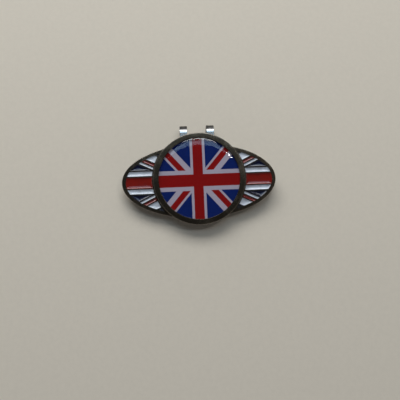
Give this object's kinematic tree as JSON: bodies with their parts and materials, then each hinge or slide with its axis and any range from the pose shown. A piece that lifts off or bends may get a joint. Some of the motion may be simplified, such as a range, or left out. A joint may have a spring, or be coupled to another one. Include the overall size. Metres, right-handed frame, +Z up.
{
  "type": "ball marker",
  "caption": "Golf hat clip: an elliptical enamelled badge on a spring clip, with a round flag-printed ball marker held on it by a magnet.",
  "frame": {"origin": "on the surface that the closed clip rests on, under the middle of the badge", "axes": "+X along the badge, to the right of the flag; +Y towards the bend of the clip; +Z up, away from the resting surface"},
  "size_m": [0.042, 0.0285, 0.0077],
  "materials": {
    "gunmetal": "black nickel plating, satin",
    "spring_nickel": "bright nickel plating",
    "magnet_nickel": "nickel-plated neodymium",
    "solder": "dull tin solder",
    "adhesive": "cured adhesive",
    "enamel_red": "soft enamel, gloss",
    "enamel_white": "soft enamel, gloss",
    "enamel_navy": "soft enamel, gloss",
    "print": "printed flag of red, white and blue",
    "clear_epoxy": "clear domed epoxy, gloss"
  },
  "bodies": {
    "clip_tongue": {"clip_tongue": "spring_nickel"},
    "badge": {"badge_plate": "gunmetal", "enamel_red_bar_left": "enamel_red", "enamel_red_bar_right": "enamel_red", "enamel_white_bars_left": "enamel_white", "enamel_white_bars_right": "enamel_white", "enamel_navy_fields_left": "enamel_navy", "enamel_navy_fields_right": "enamel_navy", "enamel_narrow_whites_left": "enamel_white", "enamel_narrow_whites_right": "enamel_white", "enamel_red_diagonals_left": "enamel_red", "enamel_red_diagonals_right": "enamel_red", "enamel_broad_whites_left": "enamel_white", "enamel_broad_whites_right": "enamel_white", "enamel_navy_corners_left": "enamel_navy", "enamel_navy_corners_right": "enamel_navy", "magnet_glue": "adhesive", "magnet": "magnet_nickel", "clip_solder": "solder", "clip_base": "spring_nickel", "clip_strap_left": "spring_nickel", "clip_strap_right": "spring_nickel"},
    "marker": {"marker_blank": "gunmetal", "marker_print_glue": "adhesive", "marker_print": "print", "marker_dome": "clear_epoxy"}
  },
  "joints": [
    {"name": "clip_open", "type": "hinge", "parent": "clip_tongue", "child": "badge", "pos_m": [0, 0.01395, 0.00225], "axis": [-1, 0, 0], "range_deg": [0, 12], "stiffness_Nm_per_rad": 0.2, "springref_deg": -4.01, "deforming": ["clip_strap_left", "clip_strap_right"]},
    {"name": "marker_lift", "type": "slide", "parent": "badge", "child": "marker", "axis": [0, -0.1482, 0.989], "range_m": [0, 0.012]}
  ]
}
